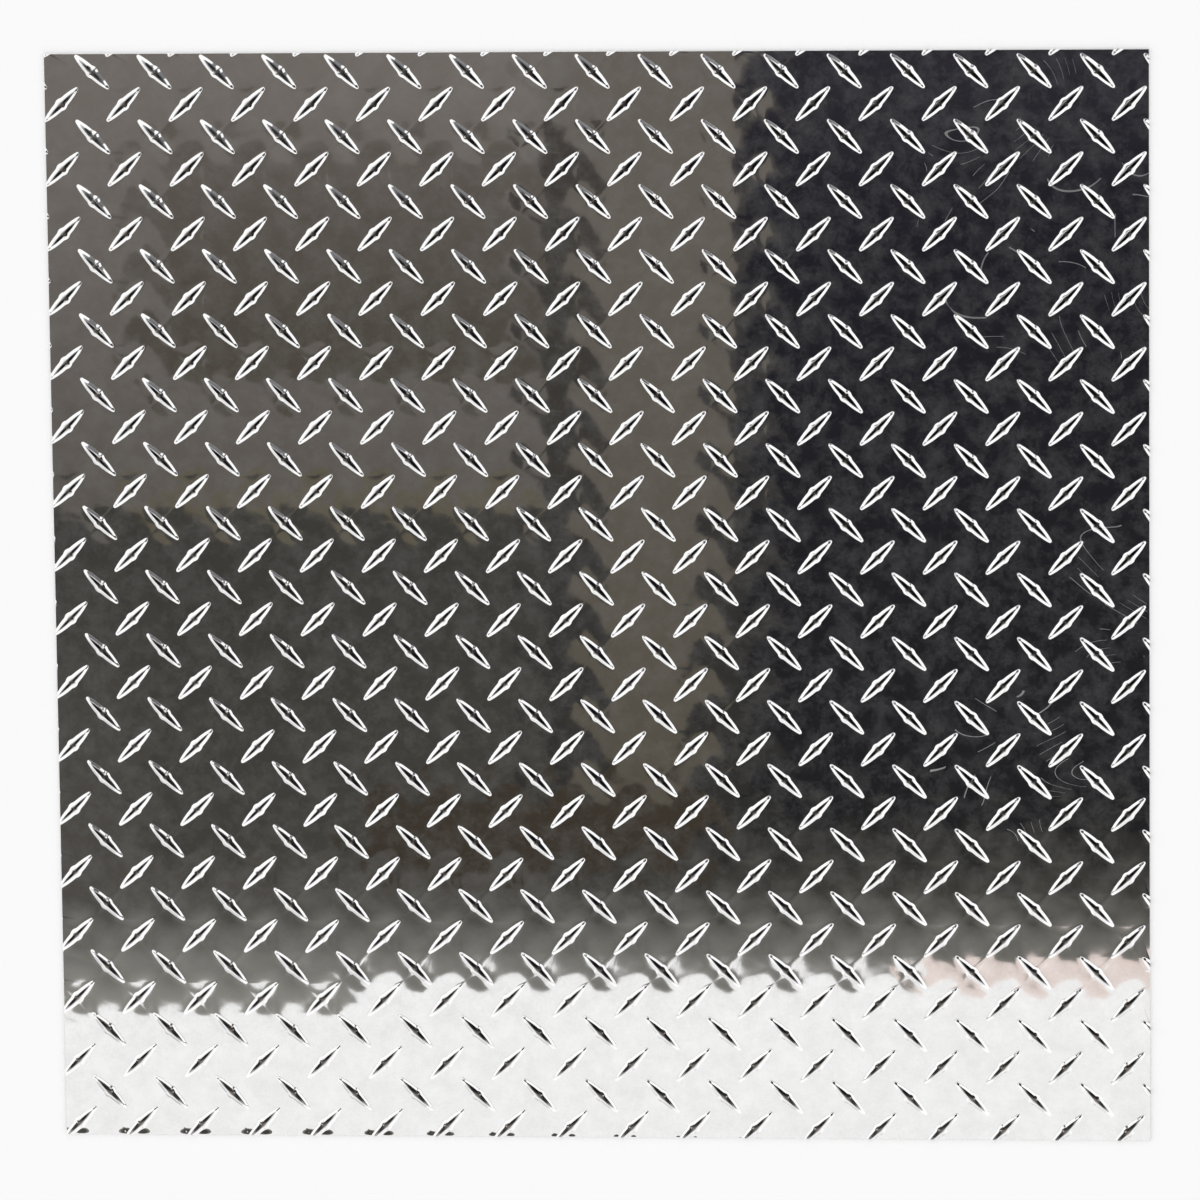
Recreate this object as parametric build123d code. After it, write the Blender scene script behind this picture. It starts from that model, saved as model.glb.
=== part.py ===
"""Aluminum tread plate: a square of rolled sheet with raised lugs on its upper face, lying flat on Z = 0."""

import math
import os

from build123d import *
from build123d.topology import SkipClean

PLATE_WIDTH = 609.6
PLATE_LENGTH = 609.6
SHEET_THICKNESS = 1.6

LUG_LENGTH = 26.6
LUG_WIDTH = 5.9
LUG_HEIGHT = 1.2
KNUCKLE_WIDTH = 6.8
CREST_SHARE = 0.48
LUG_ANGLE = 45.0

PITCH_ACROSS = 34.656
PITCH_ALONG = 35.921
PATTERN_TURN = -0.157
PATTERN_SHIFT_X = 15.73
PATTERN_SHIFT_Y = -11.64


def lug_outline():
    """Plan of a lug: a lens drawn with few sides, its long axis on X, with a slight corner at mid-length."""
    arc = (LUG_LENGTH**2 + LUG_WIDTH**2) / (4 * LUG_WIDTH)
    shoulder = LUG_LENGTH / 4
    shoulder_half = math.sqrt(arc**2 - shoulder**2) - (arc - LUG_WIDTH / 2)
    quarter = [(LUG_LENGTH / 2, 0), (shoulder, shoulder_half), (0, KNUCKLE_WIDTH / 2)]
    upper = quarter + [(-x, y) for x, y in quarter[1::-1]]
    return upper + [(x, -y) for x, y in upper[-2:0:-1]]


def make_lug():
    """A lug standing on Z = 0: its flat crest is the foot's outline made smaller, so every flank is flat."""
    foot = [(x, y, 0) for x, y in lug_outline()]
    crest = [(CREST_SHARE * x, CREST_SHARE * y, LUG_HEIGHT) for x, y in lug_outline()]
    rings = [foot, crest]
    for i in range(len(foot)):
        rings.append([foot[i - 1], foot[i], crest[i], crest[i - 1]])
    return Solid(Shell([Face(Wire.make_polygon(ring)) for ring in rings]))


def seam(row, columns):
    """Zigzag between two rows of lugs, passing clear of the tips on both sides of it."""
    reach = LUG_LENGTH / 2 * math.sin(math.radians(LUG_ANGLE))
    swing = reach - PITCH_ALONG / 4 + LUG_WIDTH / 2
    level = (row + 0.25) * PITCH_ALONG
    points = []
    for column in columns:
        points.append((column * PITCH_ACROSS + reach, level + swing))
        points.append(((column + 0.5) * PITCH_ACROSS + reach, level - swing))
    return points


def make_band(row, columns, lug):
    """One strip of sheet between two seams, with a row of lugs leaning each way."""
    strip = make_face(Polyline(*seam(row - 1, columns), *reversed(seam(row, columns)), close=True))
    sheet = extrude(strip, amount=SHEET_THICKNESS, dir=(0, 0, 1))
    lugs = []
    for column in columns[1:-1]:
        for half, angle in ((0, LUG_ANGLE), (0.5, -LUG_ANGLE)):
            x, y = (column + half) * PITCH_ACROSS, (row - half) * PITCH_ALONG
            lugs.append(Location((x, y, SHEET_THICKNESS), (0, 0, angle)) * lug)
    return sheet.solid().fuse(*lugs, glue=True)


def make_plate():
    """The rolled bands, sheared to the plate's outline and joined into one solid."""
    lug = make_lug()
    half_columns = math.ceil(PLATE_WIDTH / 2 / PITCH_ACROSS) + 2
    half_rows = math.ceil(PLATE_LENGTH / 2 / PITCH_ALONG) + 1
    columns = range(-half_columns, half_columns + 1)
    pattern = Location((PATTERN_SHIFT_X, PATTERN_SHIFT_Y, 0), (0, 0, PATTERN_TURN))
    tall = 3 * (SHEET_THICKNESS + LUG_HEIGHT)
    outline = Box(PLATE_WIDTH, PLATE_LENGTH, 2 * tall)
    bands = []
    for row in range(-half_rows, half_rows + 1):
        band = (pattern * make_band(row, columns, lug)) & outline
        if band is not None:
            bands += band.solids()
    with SkipClean():
        plate = bands[0].fuse(*bands[1:])
    return plate.solid()


if __name__ == "__main__":
    os.makedirs("parts", exist_ok=True)
    plate = make_plate()
    plate.label = "tread_plate"
    export_step(plate, "parts/tread_plate.step")
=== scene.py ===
"""Dresses the tread plate: rolled lugs on mirror-bright sheet, and the floor and room that it reflects."""

import math

import bmesh
import bpy
import numpy as np
from mathutils import Matrix, Vector
from mathutils.geometry import delaunay_2d_cdt


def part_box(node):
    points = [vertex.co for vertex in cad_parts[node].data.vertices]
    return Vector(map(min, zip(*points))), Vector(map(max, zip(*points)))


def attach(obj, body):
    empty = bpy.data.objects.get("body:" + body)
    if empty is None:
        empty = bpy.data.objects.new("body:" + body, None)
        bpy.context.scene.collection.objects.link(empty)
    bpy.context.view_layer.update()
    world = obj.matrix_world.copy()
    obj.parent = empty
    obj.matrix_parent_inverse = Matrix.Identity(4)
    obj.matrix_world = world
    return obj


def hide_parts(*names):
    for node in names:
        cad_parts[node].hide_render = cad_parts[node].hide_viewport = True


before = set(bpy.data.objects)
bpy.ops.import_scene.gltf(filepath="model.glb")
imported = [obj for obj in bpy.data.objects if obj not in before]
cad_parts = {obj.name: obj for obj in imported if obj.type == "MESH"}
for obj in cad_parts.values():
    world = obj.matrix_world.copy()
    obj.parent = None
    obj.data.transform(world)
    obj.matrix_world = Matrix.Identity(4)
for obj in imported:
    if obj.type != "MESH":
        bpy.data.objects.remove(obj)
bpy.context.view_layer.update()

# Sizes in millimetres, in the part's frame. Those of the sheet and the pattern are the part's own.
MM = 0.001
BOX_LOW, BOX_HIGH = (np.array(corner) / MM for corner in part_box("tread_plate"))
HALF_WIDTH = (BOX_HIGH[0] - BOX_LOW[0]) / 2
HALF_LENGTH = (BOX_HIGH[1] - BOX_LOW[1]) / 2
LUG_HEIGHT = 1.2
SHEET_THICKNESS = BOX_HIGH[2] - LUG_HEIGHT
LUG_LENGTH = 26.6
PITCH_ACROSS = 34.656
PITCH_ALONG = 35.921
PATTERN_TURN = math.radians(-0.157)
PATTERN_SHIFT = (15.73, -11.64)

# A lug's plan: a lens of two arcs with blunt tips and a round knuckle at mid-length.
LENS_LENGTH = 31.0
LENS_WIDTH = 5.6
LENS_ARC = (LENS_LENGTH**2 + LENS_WIDTH**2) / (4 * LENS_WIDTH)
KNUCKLE_WIDTH = 7.0
KNUCKLE_BLEND = 0.12
TIP_BLEND = 0.4
RIDGE_SOFTNESS = 0.25
DIAGONAL = math.sqrt(0.5)
TIP_REACH = LUG_LENGTH / 2 * DIAGONAL

# A lug's section, as slopes at insets from its outline: foot radius, flank, shoulder and gently domed crest.
SECTION_INSETS = np.array([-0.08, 0.08, 1.1, 1.35, 2.5, LENS_WIDTH / 2])
SECTION_SHARES = np.array([0.0, 1.0, 1.0, 0.5, 0.25, 0.0])
SECTION_AREAS = np.diff(SECTION_INSETS) * (SECTION_SHARES[1:] + SECTION_SHARES[:-1]) / 2
FLANK_SLOPE = LUG_HEIGHT / SECTION_AREAS.sum()
CREST_INSET = SECTION_INSETS[3]

# The sheared edges: the upper edge's rounding and the lower edge's bevel.
EDGE_ROUND = 0.3
EDGE_FOOT = 0.12

# Tolerances in making the mesh.
CELL_TOLERANCE = 1e-5
WELD_DISTANCE = 0.01
SHEAR_TOLERANCE = 1e-4
RIM_TOLERANCE = 1e-3
SLOPE_STEP = 0.02
HALVINGS = 40

# The triangulation's mode that keeps only triangles inside the outline.
INSIDE_ONLY = 1

# The sheet's waves: how deep it sinks under a lug, how round or narrow each dip is, and small random ripples.
WAVE_DEPTH = 0.22
WAVE_ROUND = 0.32
WAVE_NARROW = 0.36
RIPPLE_SIZE = 16.0
RIPPLE_DEPTH = 0.025

# Burrs along the near edge: how far each is from its lug's middle, its full size, and between which x
# the burrs shrink to nothing.
BURR_OFFSETS = (-8.8, 0.8)
BURR_WIDTH = 2.7
BURR_REACH = 2.4
BURR_HEIGHT = 0.53
BURR_FULL = -160.0
BURR_END = 120.0
BURR_LEAST = 0.01

# Wear and painted shade on each lug's crest: a dull worn boss at its middle, and along the crest a dark
# streak of painted shade. The shade's strength is over one, so that its middle is fully dark.
BOSS_LENGTH = 3.6
BOSS_WIDTH = 2.4
BOSS_COLOUR = (0.2, 0.18, 0.165)
PAINTED_SHADE_LENGTH = 15.5
PAINTED_SHADE_WIDTH = 1.45
PAINTED_SHADE_STRENGTH = 1.8
PAINTED_SHADE_COLOUR = (0.03, 0.028, 0.026)

# Smudges on the sheet, which tarnish it and leave a thin haze where they are thickest.
METAL_COLOUR = (0.995, 0.99, 0.99)
TARNISH_COLOUR = (0.72, 0.715, 0.71)
SMUDGE_SIZE = 16.0
SMUDGE_GRAIN = 0.8
HAZE = 0.16
HAZE_START = 0.42

# Fine scratches: rings of a swirling noise, broken into stretches, in round patches given as x, y and radius.
SCRATCH_SWIRL = 75.0
SCRATCH_TWIST = 0.6
SCRATCH_LINES = 18.0
SCRATCH_SHARE = 0.021
STRETCH_SIZE = 22.0
STRETCH_START = 0.57
SCRATCH_PATCHES = ((262.0, 215.0, 85.0), (285.0, 5.0, 40.0), (228.0, -95.0, 45.0))

# Roughness of the clean metal, and what each kind of wear adds to it.
CLEAN_ROUGHNESS = 0.015
SMUDGE_ROUGHNESS = 0.06
BOSS_ROUGHNESS = 0.25
SCRATCH_ROUGHNESS = 0.27
CUT_ROUGHNESS = 0.35

# The floor, which lies just clear of the underside.
FLOOR_HALF = 20000.0
FLOOR_DROP = 0.2
FLOOR_COLOUR = (0.99, 0.99, 0.99)
FLOOR_ROUGHNESS = 0.9

# The surroundings: grey below one height of direction and white above another, with their up tilted
# a little, so that they are whiter where the lugs' far flanks look.
HORIZON_COLOUR = (0.36, 0.36, 0.37)
HORIZON_TOP = 0.14
SKY_COLOUR = (1.0, 1.0, 1.0)
SKY_BASE = 0.32
SKY_UP = (-0.03, -0.03, 1.0)

# Heights of the cards that the metal reflects, and how far apart cards lie that overlap at one height.
SILL_HEIGHT = 600.0
HALL_HEIGHT = 1000.0
PANEL_HEIGHT = 1500.0
WALL_HEIGHT = 1600.0
CARD_STEP = 5.0

# How the metal shows a card: the share of its light that the sheet reflects, and the light that haze adds.
REFLECTANCE = 0.86
HAZE_LIGHT = 0.01

# The camera, nearly straight above the plate.
CAMERA_PLACE = Vector((364.8, 677.7, 4430.0))
CAMERA_TARGET = Vector((0.26, -0.13, 1.6))
CAMERA_UP = Vector((0.0113, 1.0, 0.0))
SENSOR_WIDTH = 36.0
FOCAL_LENGTH = 243.0
CAMERA_REACH = 100000.0


def to_pattern(x, y):
    """Plate coordinates to those of the lug pattern."""
    c, s = math.cos(PATTERN_TURN), math.sin(PATTERN_TURN)
    dx, dy = x - PATTERN_SHIFT[0], y - PATTERN_SHIFT[1]
    return c * dx + s * dy, c * dy - s * dx


def to_plate(u, v):
    """Pattern coordinates to those of the plate."""
    c, s = math.cos(PATTERN_TURN), math.sin(PATTERN_TURN)
    return c * u - s * v + PATTERN_SHIFT[0], s * u + c * v + PATTERN_SHIFT[1]


def larger(a, b, blend):
    """The larger of two values, rounded over where they are alike."""
    return (a + b + np.sqrt((a - b) ** 2 + blend**2)) / 2


def lug_inset(s, t):
    """How far a point lies inside a lug's outline, with the lug's long axis along s."""
    side = np.hypot(t, RIDGE_SOFTNESS)
    lens = LENS_ARC - np.hypot(s, side + LENS_ARC - LENS_WIDTH / 2)
    blunt = -larger(-lens, np.abs(s) - LUG_LENGTH / 2, TIP_BLEND)
    return larger(blunt, KNUCKLE_WIDTH / 2 - np.hypot(s, side), KNUCKLE_BLEND)


def lug_rise(inset):
    """Height of a lug's surface over the sheet at an inset."""
    height = np.zeros(np.shape(inset))
    for i, width in enumerate(np.diff(SECTION_INSETS)):
        run = np.clip(inset - SECTION_INSETS[i], 0, width)
        gain = (SECTION_SHARES[i + 1] - SECTION_SHARES[i]) / width
        height += FLANK_SLOPE * (SECTION_SHARES[i] * run + gain * run**2 / 2)
    return height


def nearest_lug(x, y):
    """Place along and across the nearest lug's axis, and inset in that lug, at plate points."""
    u, v = to_pattern(x, y)
    best = None
    for half, lean in ((0.0, 1.0), (0.5, -1.0)):
        a = u - (np.round(u / PITCH_ACROSS - half) + half) * PITCH_ACROSS
        b = v - (np.round(v / PITCH_ALONG - half) + half) * PITCH_ALONG
        s, t = (a + lean * b) * DIAGONAL, (b - lean * a) * DIAGONAL
        found = np.stack([s, t, lug_inset(s, t)])
        best = found if best is None else np.where(found[2] > best[2], found, best)
    return best


def upper_face(x, y):
    """Height of the upper face over the underside at plate points."""
    return SHEET_THICKNESS + lug_rise(nearest_lug(x, y)[2])


def surface_normals(x, y):
    """Unit normals of the upper face at plate points, from the height's slope."""
    step = SLOPE_STEP
    slope_x = (upper_face(x + step, y) - upper_face(x - step, y)) / (2 * step)
    slope_y = (upper_face(x, y + step) - upper_face(x, y - step)) / (2 * step)
    normals = np.stack([-slope_x, -slope_y, np.ones_like(x)], axis=1)
    return normals / np.linalg.norm(normals, axis=1, keepdims=True)


def reach_along(distance, inset, far):
    """How far out a lug's surface keeps an inset, where distance places points on a line from the axis."""
    near = 0.0
    for _ in range(HALVINGS):
        middle = (near + far) / 2
        if lug_inset(*distance(middle)) > inset:
            near = middle
        else:
            far = middle
    return near


def contour(inset, shares):
    """A closed ring of points round a lug at an inset, at shares of its half length."""
    end = reach_along(lambda s: (s, 0.0), inset, LUG_LENGTH)
    quarter = []
    for share in (0.0, *shares):
        s = share * end
        quarter.append((s, reach_along(lambda t: (s, t), inset, LENS_WIDTH)))
    upper = quarter[::-1] + [(-s, t) for s, t in quarter[1:]]
    return [(end, 0.0)] + upper + [(-end, 0.0)] + [(s, -t) for s, t in upper[::-1]]


def lug_lines():
    """Lines that the mesh of a lug follows, each a list of points and whether it closes."""
    outside, foot, shoulder, crest, top = SECTION_INSETS[:5]
    foot_shares = (0.075, 0.14, 0.19, 0.42, 0.66, 0.86, 0.97)
    shoulder_shares = (0.09, 0.17, 0.24, 0.5, 0.78, 0.96)
    crest_shares = (0.1, 0.2, 0.3, 0.6, 0.9)
    top_shares = (0.17, 0.35, 0.7)
    ridge_shares = (0.11, 0.22, 0.42, 0.62, 0.78, 0.9)
    lines = [
        (contour(outside, foot_shares), True),
        (contour(foot, foot_shares), True),
        (contour(shoulder, shoulder_shares), True),
        (contour(crest, crest_shares), True),
        (contour(top, top_shares), True),
    ]
    reach = LUG_LENGTH / 2
    half = [share * reach for share in ridge_shares]
    ridge = [-s for s in half[::-1]] + [0.0] + half
    lines.append(([(s, 0.0) for s in ridge], False))
    return lines


def cell_outline():
    """Outline of the repeating cell, which holds one lug of each lean and passes clear of every tip."""
    clear = 2.0
    corner = Vector((TIP_REACH + clear, TIP_REACH + clear))
    across, along = Vector((PITCH_ACROSS, 0)), Vector((0, PITCH_ALONG))
    low = Vector((PITCH_ACROSS / 2 + TIP_REACH, PITCH_ALONG / 2 - TIP_REACH - 1.5 * clear))
    left = Vector((PITCH_ACROSS / 2 - TIP_REACH - 1.5 * clear, PITCH_ALONG / 2 + TIP_REACH))
    parts = 2

    def divided(points):
        line = []
        for a, b in zip(points, points[1:]):
            line += [a.lerp(b, i / parts) for i in range(parts)]
        return line

    bottom = divided([corner, low, corner + across])
    side = divided([corner, left, corner + along])
    right = [p + across for p in side]
    top = [p + along for p in bottom]
    far = corner + across + along
    return bottom + right + [far] + top[:0:-1] + [corner + along] + side[:0:-1]


def cell_mesh():
    """Points and triangles of one cell of the pattern, in pattern coordinates."""
    outline = cell_outline()
    points = list(outline)
    edges = [(i, (i + 1) % len(outline)) for i in range(len(outline))]
    lugs = ((PITCH_ACROSS, PITCH_ALONG, 1.0), (PITCH_ACROSS / 2, PITCH_ALONG / 2, -1.0))
    for u, v, lean in lugs:

        def placed(s, t):
            return Vector((u + (s - lean * t) * DIAGONAL, v + (lean * s + t) * DIAGONAL))

        for line, closed in lug_lines():
            first = len(points)
            points += [placed(s, t) for s, t in line]
            count = len(line)
            edges += [(first + i, first + (i + 1) % count) for i in range(count if closed else count - 1)]
    made = delaunay_2d_cdt(points, edges, [list(range(len(outline)))], INSIDE_ONLY, CELL_TOLERANCE)
    return np.array([tuple(p) for p in made[0]]), [tuple(f) for f in made[2]]


def rolled_sheet():
    """A bmesh of the upper face, flat for now, from cells laid past every edge of the plate."""
    points, faces = cell_mesh()
    columns = math.ceil(HALF_WIDTH / PITCH_ACROSS) + 2
    rows = math.ceil(HALF_LENGTH / PITCH_ALONG) + 2
    margin = 2 * PITCH_ALONG
    all_points, all_faces = [], []
    for column in range(-columns, columns):
        for row in range(-rows, rows):
            x, y = to_plate(points[:, 0] + column * PITCH_ACROSS, points[:, 1] + row * PITCH_ALONG)
            if abs(x.mean()) > HALF_WIDTH + margin or abs(y.mean()) > HALF_LENGTH + margin:
                continue
            first = sum(len(p) for p in all_points)
            all_points.append(np.stack([x, y, np.zeros_like(x)], axis=1))
            all_faces += [tuple(first + i for i in face) for face in faces]
    mesh = bpy.data.meshes.new("rolled_sheet")
    mesh.from_pydata(np.concatenate(all_points).tolist(), [], all_faces)
    bm = bmesh.new()
    bm.from_mesh(mesh)
    bpy.data.meshes.remove(mesh)
    bmesh.ops.remove_doubles(bm, verts=bm.verts, dist=WELD_DISTANCE)
    return bm


def shear(bm):
    """Cuts the sheet to the plate's outline, less the rounding of its edges."""
    for axis, half in ((0, HALF_WIDTH), (1, HALF_LENGTH)):
        for side in (-1, 1):
            normal = Vector((0, 0, 0))
            normal[axis] = side
            bmesh.ops.bisect_plane(
                bm,
                geom=bm.verts[:] + bm.edges[:] + bm.faces[:],
                dist=SHEAR_TOLERANCE,
                plane_co=normal * (half - EDGE_ROUND),
                plane_no=normal,
                clear_outer=True,
            )


def raise_lugs(bm):
    """Lifts the sheet's points to the height of the upper face."""
    x = np.array([v.co.x for v in bm.verts])
    y = np.array([v.co.y for v in bm.verts])
    for vert, height in zip(bm.verts, upper_face(x, y)):
        vert.co.z = height


def close_edges(bm):
    """Rolls the upper face over its edges, drops the sheared sides and closes the underside."""
    rim = [e for e in bm.edges if e.is_boundary]
    cut = bm.faces.layers.float.new("cut")
    rings = (
        (0.6 * EDGE_ROUND, lambda z: z - 0.2 * EDGE_ROUND),
        (EDGE_ROUND, lambda z: z - 0.8 * EDGE_ROUND),
        (EDGE_ROUND, lambda z: EDGE_FOOT),
        (EDGE_ROUND - EDGE_FOOT, lambda z: 0.0),
    )
    tops = {v: v.co.copy() for e in rim for v in e.verts}
    for out, height in rings:
        made = bmesh.ops.extrude_edge_only(bm, edges=rim)["geom"]
        new_verts = [g for g in made if isinstance(g, bmesh.types.BMVert)]
        for face in (g for g in made if isinstance(g, bmesh.types.BMFace)):
            face[cut] = 1.0
        rim = [g for g in made if isinstance(g, bmesh.types.BMEdge) and g.is_boundary]
        below = {}
        for vert in new_verts:
            start = next(e.other_vert(vert) for e in vert.link_edges if e.other_vert(vert) in tops)
            below[vert] = tops[start]
            for axis, half in ((0, HALF_WIDTH), (1, HALF_LENGTH)):
                if abs(abs(tops[start][axis]) - (half - EDGE_ROUND)) < RIM_TOLERANCE:
                    vert.co[axis] = math.copysign(half - EDGE_ROUND + out, tops[start][axis])
            vert.co.z = height(tops[start].z)
        tops = below
    for face in bmesh.ops.contextual_create(bm, geom=rim)["faces"]:
        face[cut] = 1.0


def mark_lugs(mesh, points):
    """Keeps each point's place along and across the nearest lug, and its inset in it, for the material."""
    lug = mesh.attributes.new("lug", "FLOAT_VECTOR", "POINT")
    lug.data.foreach_set("vector", nearest_lug(points[:, 0], points[:, 1]).T.astype(np.float32).ravel())


def corner_normals(mesh, points):
    """Normals for each face corner: the upper face's own, and flat ones on the sides and the underside."""
    loop_vertex = np.empty(len(mesh.loops), dtype=np.int32)
    mesh.loops.foreach_get("vertex_index", loop_vertex)
    normals = surface_normals(points[:, 0], points[:, 1])[loop_vertex]

    cut = np.empty(len(mesh.polygons), dtype=np.float32)
    mesh.attributes["cut"].data.foreach_get("value", cut)
    sizes = np.empty(len(mesh.polygons), dtype=np.int32)
    mesh.polygons.foreach_get("loop_total", sizes)
    face_normals = np.empty(len(mesh.polygons) * 3)
    mesh.polygons.foreach_get("normal", face_normals)
    loop_face = np.repeat(np.arange(len(sizes)), sizes)
    loop_cut = cut[loop_face] > 0.5
    normals[loop_cut] = face_normals.reshape(-1, 3)[loop_face[loop_cut]]
    return normals.tolist()


def plate_mesh():
    """The plate's mesh in metres, with its normals and each point's place on the nearest lug."""
    bm = rolled_sheet()
    shear(bm)
    raise_lugs(bm)
    close_edges(bm)
    bmesh.ops.recalc_face_normals(bm, faces=bm.faces)
    mesh = bpy.data.meshes.new("tread_plate_dressed")
    bm.to_mesh(mesh)
    bm.free()
    mesh.shade_smooth()
    points = np.empty(len(mesh.vertices) * 3)
    mesh.vertices.foreach_get("co", points)
    points = points.reshape(-1, 3)
    mark_lugs(mesh, points)
    normals = corner_normals(mesh, points)
    mesh.transform(Matrix.Scale(MM, 4))
    mesh.normals_split_custom_set(normals)
    return mesh


def calculator(tree):
    """A function that adds a maths node to a node tree and gives its result."""

    def calculate(operation, *values):
        node = tree.nodes.new("ShaderNodeMath")
        node.operation = operation
        for socket, value in zip(node.inputs, values):
            if isinstance(value, bpy.types.NodeSocket):
                tree.links.new(value, socket)
            else:
                socket.default_value = value
        return node.outputs[0]

    return calculate


def noise(tree, place, size, detail=2.0, distortion=0.0, grain=0.5):
    """A noise texture with features of a size in millimetres, and finer ones as strong as the grain."""
    node = tree.nodes.new("ShaderNodeTexNoise")
    tree.links.new(place, node.inputs["Vector"])
    node.inputs["Scale"].default_value = 1 / (size * MM)
    node.inputs["Detail"].default_value = detail
    node.inputs["Roughness"].default_value = grain
    node.inputs["Distortion"].default_value = distortion
    return node.outputs["Fac"]


def mixed(tree, share, first, second):
    """A colour between two, each given as red, green and blue or as another node's result."""
    node = tree.nodes.new("ShaderNodeMix")
    node.data_type = "RGBA"
    tree.links.new(share, node.inputs["Factor"])
    for socket, colour in (("A", first), ("B", second)):
        if isinstance(colour, bpy.types.NodeSocket):
            tree.links.new(colour, node.inputs[socket])
        else:
            node.inputs[socket].default_value = (*colour, 1.0)
    return node.outputs["Result"]


def pattern_angle(tree, place, direction, pitch):
    """An angle that turns once for each pitch of the pattern in a direction, zero at a right-leaning lug."""
    dot = tree.nodes.new("ShaderNodeVectorMath")
    dot.operation = "DOT_PRODUCT"
    tree.links.new(place, dot.inputs[0])
    turns = direction * (2 * math.pi / pitch)
    dot.inputs[1].default_value = (turns.x / MM, turns.y / MM, 0)
    return calculator(tree)("SUBTRACT", dot.outputs["Value"], turns.dot(Vector(PATTERN_SHIFT)))


def pattern_angles(tree, place):
    """Angles that count the pattern's pitches across and along the plate."""
    c, s = math.cos(PATTERN_TURN), math.sin(PATTERN_TURN)
    across = pattern_angle(tree, place, Vector((c, s)), PITCH_ACROSS)
    along = pattern_angle(tree, place, Vector((-s, c)), PITCH_ALONG)
    return across, along


def edge_burrs(tree, place, across):
    """Height in millimetres of the burrs that the shear left on the near edge, smaller to the right."""
    calc = calculator(tree)
    split = tree.nodes.new("ShaderNodeSeparateXYZ")
    tree.links.new(place, split.inputs[0])
    run = BURR_END - BURR_FULL
    shrunk = calc("MULTIPLY_ADD", split.outputs["X"], -1 / (MM * run), BURR_END / run)
    size = calc("MINIMUM", calc("MAXIMUM", shrunk, BURR_LEAST), 1.0)
    from_edge = calc("MULTIPLY_ADD", split.outputs["Y"], 1 / (MM * BURR_REACH), HALF_LENGTH / BURR_REACH)
    inward = calc("POWER", calc("DIVIDE", from_edge, size), 2.0)
    sharpness = calc("DIVIDE", (PITCH_ACROSS / (2 * math.pi * BURR_WIDTH)) ** 2, calc("POWER", size, 2.0))
    burrs = []
    for offset in BURR_OFFSETS:
        turned = calc("SUBTRACT", across, 2 * math.pi * offset / PITCH_ACROSS)
        sideways = calc("MULTIPLY", calc("SUBTRACT", 1.0, calc("COSINE", turned)), sharpness)
        burrs.append(calc("EXPONENT", calc("SUBTRACT", calc("MULTIPLY", sideways, -1.0), inward)))
    return calc("MULTIPLY", calc("ADD", *burrs), calc("MULTIPLY", size, BURR_HEIGHT))


def sheet_waves(tree, across, along):
    """Depth in millimetres by which the sheet sinks towards its lugs, more steeply across than along."""
    calc = calculator(tree)
    cells = calc("ADD", calc("COSINE", across), calc("COSINE", along))
    sunk = []
    for lean, side in (("SUBTRACT", 1.0), ("ADD", -1.0)):
        narrow = calc("COSINE", calc(lean, across, along))
        power = calc("MULTIPLY_ADD", cells, side * WAVE_ROUND, -2 * WAVE_ROUND - WAVE_NARROW)
        sunk.append(calc("EXPONENT", calc("MULTIPLY_ADD", narrow, WAVE_NARROW, power)))
    return calc("MULTIPLY", calc("ADD", *sunk), WAVE_DEPTH)


def scratches(tree, place):
    """Fine swirling scratches, in patches at the right of the plate."""
    calc = calculator(tree)
    swirl = noise(tree, place, SCRATCH_SWIRL, detail=0.0, distortion=SCRATCH_TWIST)
    rings = calc("FRACT", calc("MULTIPLY", swirl, SCRATCH_LINES))
    line = calc("LESS_THAN", calc("ABSOLUTE", calc("SUBTRACT", rings, 0.5)), SCRATCH_SHARE)
    stretch = calc("GREATER_THAN", noise(tree, place, STRETCH_SIZE, detail=0.0), STRETCH_START)
    patches = []
    for x, y, radius in SCRATCH_PATCHES:
        far = tree.nodes.new("ShaderNodeVectorMath")
        far.operation = "DISTANCE"
        tree.links.new(place, far.inputs[0])
        far.inputs[1].default_value = (x * MM, y * MM, SHEET_THICKNESS * MM)
        patches.append(calc("LESS_THAN", far.outputs["Value"], radius * MM))
    region = patches[0]
    for patch in patches[1:]:
        region = calc("MAXIMUM", region, patch)
    return calc("MULTIPLY", calc("MULTIPLY", line, stretch), region)


def lug_place(tree):
    """Sockets for the place along and across the nearest lug's axis, and for the inset in that lug."""
    lug = tree.nodes.new("ShaderNodeAttribute")
    lug.attribute_name = "lug"
    split = tree.nodes.new("ShaderNodeSeparateXYZ")
    tree.links.new(lug.outputs["Vector"], split.inputs[0])
    return split.outputs


def crest_spot(tree, lug, length, width):
    """A soft oval on the crest at each lug's middle, one at its centre and nothing off the crest."""
    calc = calculator(tree)
    s = calc("POWER", calc("MULTIPLY", lug["X"], 2 / length), 2.0)
    t = calc("POWER", calc("MULTIPLY", lug["Y"], 2 / width), 2.0)
    faded = calc("EXPONENT", calc("MULTIPLY", calc("ADD", s, t), -1.0))
    return calc("MULTIPLY", faded, calc("GREATER_THAN", lug["Z"], CREST_INSET))


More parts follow.
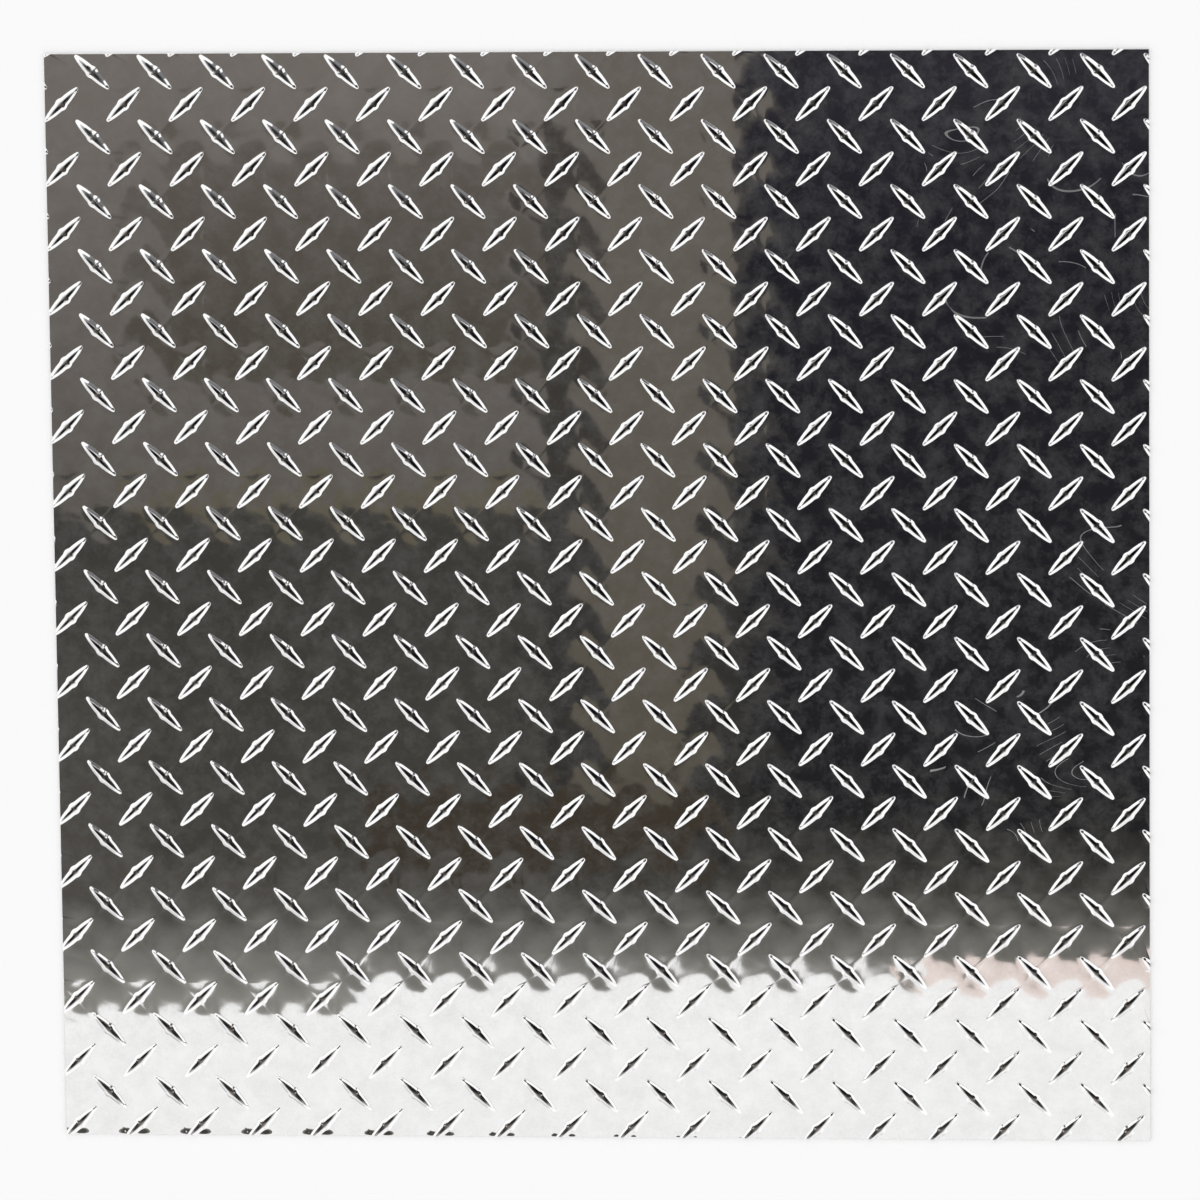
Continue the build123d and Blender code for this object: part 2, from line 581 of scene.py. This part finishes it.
def metal():
    """Bright mill-finish aluminum: a smudged mirror on the sheet, dull on the bosses, a dark streak of
    painted shade along each crest, torn where sheared.
    """
    material = bpy.data.materials.new("bright_aluminum")
    material.use_nodes = True
    tree = material.node_tree
    calc = calculator(tree)
    shader = tree.nodes["Principled BSDF"]
    place = tree.nodes.new("ShaderNodeTexCoord").outputs["Object"]
    cut = tree.nodes.new("ShaderNodeAttribute")
    cut.attribute_name = "cut"
    lug = lug_place(tree)
    # Painted shade: a near-black streak along each lug's crest, mixed into the metal's colour.
    painted_shade = calc("MULTIPLY", crest_spot(tree, lug, PAINTED_SHADE_LENGTH, PAINTED_SHADE_WIDTH), PAINTED_SHADE_STRENGTH)
    painted_shade = calc("MINIMUM", painted_shade, 1.0)
    boss = crest_spot(tree, lug, BOSS_LENGTH, BOSS_WIDTH)
    scratched = scratches(tree, place)

    smudges = noise(tree, place, SMUDGE_SIZE, detail=4.0, grain=SMUDGE_GRAIN)
    on_sheet = calc("LESS_THAN", lug["Z"], 0.0)
    colour = mixed(tree, calc("MULTIPLY", smudges, on_sheet), METAL_COLOUR, TARNISH_COLOUR)
    # The painted shade darkens the colour along each crest.
    colour = mixed(tree, painted_shade, colour, PAINTED_SHADE_COLOUR)
    tree.links.new(mixed(tree, boss, colour, BOSS_COLOUR), shader.inputs["Base Color"])

    hazed = calc("MULTIPLY", calc("SUBTRACT", smudges, HAZE_START), on_sheet)
    tree.links.new(calc("MINIMUM", calc("MULTIPLY_ADD", hazed, -HAZE, 1.0), 1.0), shader.inputs["Metallic"])

    rough = calc("MULTIPLY_ADD", smudges, SMUDGE_ROUGHNESS, CLEAN_ROUGHNESS)
    wear = ((boss, BOSS_ROUGHNESS), (scratched, SCRATCH_ROUGHNESS), (cut.outputs["Fac"], CUT_ROUGHNESS))
    for place_worn, amount in wear:
        rough = calc("MULTIPLY_ADD", place_worn, amount, rough)
    tree.links.new(rough, shader.inputs["Roughness"])

    across, along = pattern_angles(tree, place)
    raised = calc("SUBTRACT", edge_burrs(tree, place, across), sheet_waves(tree, across, along))
    height = calc("MULTIPLY_ADD", noise(tree, place, RIPPLE_SIZE), RIPPLE_DEPTH, raised)
    bump = tree.nodes.new("ShaderNodeBump")
    bump.inputs["Distance"].default_value = MM
    tree.links.new(on_sheet, bump.inputs["Strength"])
    tree.links.new(height, bump.inputs["Height"])
    tree.links.new(bump.outputs["Normal"], shader.inputs["Normal"])
    return material


def tread_plate():
    """The dressed plate, which stands for the CAD node."""
    piece = bpy.data.objects.new("tread_plate_dressed", plate_mesh())
    bpy.context.scene.collection.objects.link(piece)
    piece.data.materials.append(metal())
    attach(piece, "root")
    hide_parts("tread_plate")


def shade(red, green, blue):
    """Linear light that the metal shows as an sRGB colour, given what it reflects and what its haze adds."""
    return [(((c + 0.055) / 1.055) ** 2.4 - HAZE_LIGHT) / REFLECTANCE for c in (red, green, blue)]


def fading_colour(name, low, high):
    """A material that gives off a colour, fading from the card's low side to its high side."""
    material = bpy.data.materials.new(name)
    material.use_nodes = True
    nodes, links = material.node_tree.nodes, material.node_tree.links
    nodes.remove(nodes["Principled BSDF"])
    place = nodes.new("ShaderNodeTexCoord")
    split = nodes.new("ShaderNodeSeparateXYZ")
    ramp = nodes.new("ShaderNodeValToRGB")
    glow = nodes.new("ShaderNodeEmission")
    material.cycles.emission_sampling = "NONE"
    ramp.color_ramp.elements[0].color = (*shade(*low), 1.0)
    ramp.color_ramp.elements[1].color = (*shade(*high), 1.0)
    links.new(place.outputs["Generated"], split.inputs[0])
    links.new(split.outputs["Y"], ramp.inputs["Fac"])
    links.new(ramp.outputs["Color"], glow.inputs["Color"])
    links.new(glow.outputs[0], nodes["Material Output"].inputs["Surface"])
    return material


def floor():
    """A plain white floor under the plate."""
    half = FLOOR_HALF * MM
    mesh = bpy.data.meshes.new("floor")
    mesh.from_pydata([(x * half, y * half, 0) for x, y in rectangle(-1, 1, -1, 1)], [], [(0, 1, 2, 3)])
    ground = bpy.data.objects.new("floor", mesh)
    ground.location.z = -FLOOR_DROP * MM
    bpy.context.scene.collection.objects.link(ground)
    material = bpy.data.materials.new("floor")
    material.use_nodes = True
    shader = material.node_tree.nodes["Principled BSDF"]
    shader.inputs["Base Color"].default_value = (*FLOOR_COLOUR, 1.0)
    shader.inputs["Roughness"].default_value = FLOOR_ROUGHNESS
    shader.inputs["Specular IOR Level"].default_value = 0.0
    mesh.materials.append(material)


def surroundings():
    """A white world, greyer towards the horizon."""
    world = bpy.data.worlds.new("studio")
    bpy.context.scene.world = world
    world.use_nodes = True
    nodes, links = world.node_tree.nodes, world.node_tree.links
    direction = nodes.new("ShaderNodeTexCoord")
    height = nodes.new("ShaderNodeVectorMath")
    height.operation = "DOT_PRODUCT"
    height.inputs[1].default_value = SKY_UP
    ramp = nodes.new("ShaderNodeValToRGB")
    links.new(direction.outputs["Generated"], height.inputs[0])
    links.new(height.outputs["Value"], ramp.inputs["Fac"])
    horizon, sky = ramp.color_ramp.elements
    horizon.position = HORIZON_TOP
    horizon.color = (*HORIZON_COLOUR, 1.0)
    sky.position = SKY_BASE
    sky.color = (*SKY_COLOUR, 1.0)
    links.new(ramp.outputs["Color"], nodes["Background"].inputs["Color"])


def rectangle(left, right, low, high):
    """Corners of an upright rectangle."""
    return ((left, low), (right, low), (right, high), (left, high))


def flag(name, corners, low, high, height, layer=0):
    """A card that only mirror rays see, reflected to the camera with its corners at the given plate points.

    Its colour fades from low to high, and a higher layer lies behind a lower one at the same height.
    """
    level = height + layer * CARD_STEP
    share = (level - SHEET_THICKNESS) / (CAMERA_PLACE.z - SHEET_THICKNESS)
    points = []
    for x, y in corners:
        seen = Vector((x, y, level))
        away = Vector((x - CAMERA_PLACE.x, y - CAMERA_PLACE.y, 0)) * share
        points.append((seen + away) * MM)
    mesh = bpy.data.meshes.new(name)
    mesh.from_pydata(points, [], [(0, 1, 2, 3)])
    mesh.materials.append(fading_colour(name, low, high))
    card = bpy.data.objects.new(name, mesh)
    bpy.context.scene.collection.objects.link(card)
    card.visible_camera = False
    card.visible_diffuse = False
    card.visible_shadow = False
    card.visible_transmission = False
    card.visible_volume_scatter = False


def brown_wall():
    """The far wall and its panel, seen in the plate's upper left, and a slant that greys the lugs there."""
    wall = rectangle(-375, 60, -20, 370)
    flag("flag_wall", wall, (0.335, 0.32, 0.305), (0.455, 0.435, 0.415), WALL_HEIGHT)
    panel = rectangle(-251, -34, 125, 255)
    flag("flag_panel", panel, (0.30, 0.285, 0.26), (0.37, 0.35, 0.33), PANEL_HEIGHT)
    slant = ((-250, 360), (20, 345), (1180, 1500), (760, 1500))
    flag("flag_slant", slant, (0.33, 0.33, 0.335), (0.55, 0.55, 0.56), SILL_HEIGHT)


def grey_hall():
    """The grey zone at the plate's left, with a shelf along its top and a brown patch at its foot."""
    shelf = rectangle(-258, -40, 40, 64)
    flag("flag_shelf", shelf, (0.37, 0.35, 0.30), (0.37, 0.35, 0.305), HALL_HEIGHT, -1)
    grey = rectangle(-760, -32, -170, 48)
    flag("flag_grey", grey, (0.315, 0.305, 0.29), (0.25, 0.245, 0.235), HALL_HEIGHT, -2)
    middle = rectangle(-255, -32, -150, 48)
    flag("flag_grey_middle", middle, (0.27, 0.265, 0.25), (0.25, 0.245, 0.235), HALL_HEIGHT, -3)
    patch = rectangle(-134, 60, -150, -105)
    flag("flag_patch", patch, (0.25, 0.23, 0.205), (0.25, 0.23, 0.205), HALL_HEIGHT, -4)


def dark_hall():
    """The olive stripe at the plate's middle, the dark gaps beside it and the black zone at the right."""
    gap = rectangle(-32, -6, -110, 262)
    flag("flag_gap", gap, (0.215, 0.21, 0.205), (0.265, 0.255, 0.245), HALL_HEIGHT)
    gap_low = rectangle(-90, -6, -150, 40)
    flag("flag_gap_low", gap_low, (0.215, 0.21, 0.205), (0.23, 0.225, 0.22), HALL_HEIGHT, 3)
    gap_top = rectangle(-32, -6, 262, 360)
    flag("flag_gap_top", gap_top, (0.40, 0.385, 0.365), (0.42, 0.40, 0.38), HALL_HEIGHT)
    olive = ((-6, -108), (54, -108), (90, 360), (-6, 360))
    flag("flag_olive", olive, (0.335, 0.32, 0.285), (0.405, 0.385, 0.365), HALL_HEIGHT)
    wedge = rectangle(-10, 95, -150, 360)
    flag("flag_wedge", wedge, (0.20, 0.20, 0.195), (0.26, 0.25, 0.25), HALL_HEIGHT, 2)
    black = rectangle(91, 620, -150, 200)
    flag("flag_black", black, (0.165, 0.165, 0.17), (0.16, 0.16, 0.178), HALL_HEIGHT, 1)
    black_top = rectangle(91, 620, 200, 540)
    flag("flag_black_top", black_top, (0.16, 0.16, 0.178), (0.26, 0.25, 0.27), HALL_HEIGHT, 1)


def light_sill():
    """The fade from dark to white towards the plate's near edge, with a pinkish end at the right."""
    fade_low = ((-540, -220), (520, -205), (520, -168), (-540, -168))
    flag("flag_fade_low", fade_low, (0.50, 0.495, 0.475), (0.31, 0.305, 0.29), SILL_HEIGHT, 1)
    fade_high = rectangle(-540, 520, -185, -122)
    flag("flag_fade_high", fade_high, (0.31, 0.305, 0.29), (0.178, 0.178, 0.176), HALL_HEIGHT, -1)
    low_left = ((-540, -234), (-145, -230), (-145, -200), (-540, -200))
    flag("flag_low_left", low_left, (0.53, 0.525, 0.5), (0.45, 0.445, 0.43), SILL_HEIGHT, 3)
    pink = ((182, -218), (330, -217), (330, -198), (170, -205))
    flag("flag_pink", pink, (0.91, 0.86, 0.84), (0.85, 0.79, 0.765), SILL_HEIGHT, -3)


def studio():
    """White surroundings, and over the plate the dark room that the photograph shows in the metal."""
    surroundings()
    brown_wall()
    grey_hall()
    dark_hall()
    light_sill()


def camera():
    """The photograph's view, almost straight down on the plate."""
    data = bpy.data.cameras.new("camera")
    data.sensor_width = SENSOR_WIDTH
    data.lens = FOCAL_LENGTH
    data.clip_end = CAMERA_REACH * MM
    eye = bpy.data.objects.new("camera", data)
    bpy.context.scene.collection.objects.link(eye)
    back = (CAMERA_PLACE - CAMERA_TARGET).normalized()
    right = CAMERA_UP.cross(back).normalized()
    up = back.cross(right)
    turn = Matrix((right, up, back)).transposed().to_4x4()
    eye.matrix_world = Matrix.Translation(CAMERA_PLACE * MM) @ turn
    bpy.context.scene.camera = eye


tread_plate()
floor()
studio()
camera()
bpy.context.scene.view_settings.view_transform = "Standard"
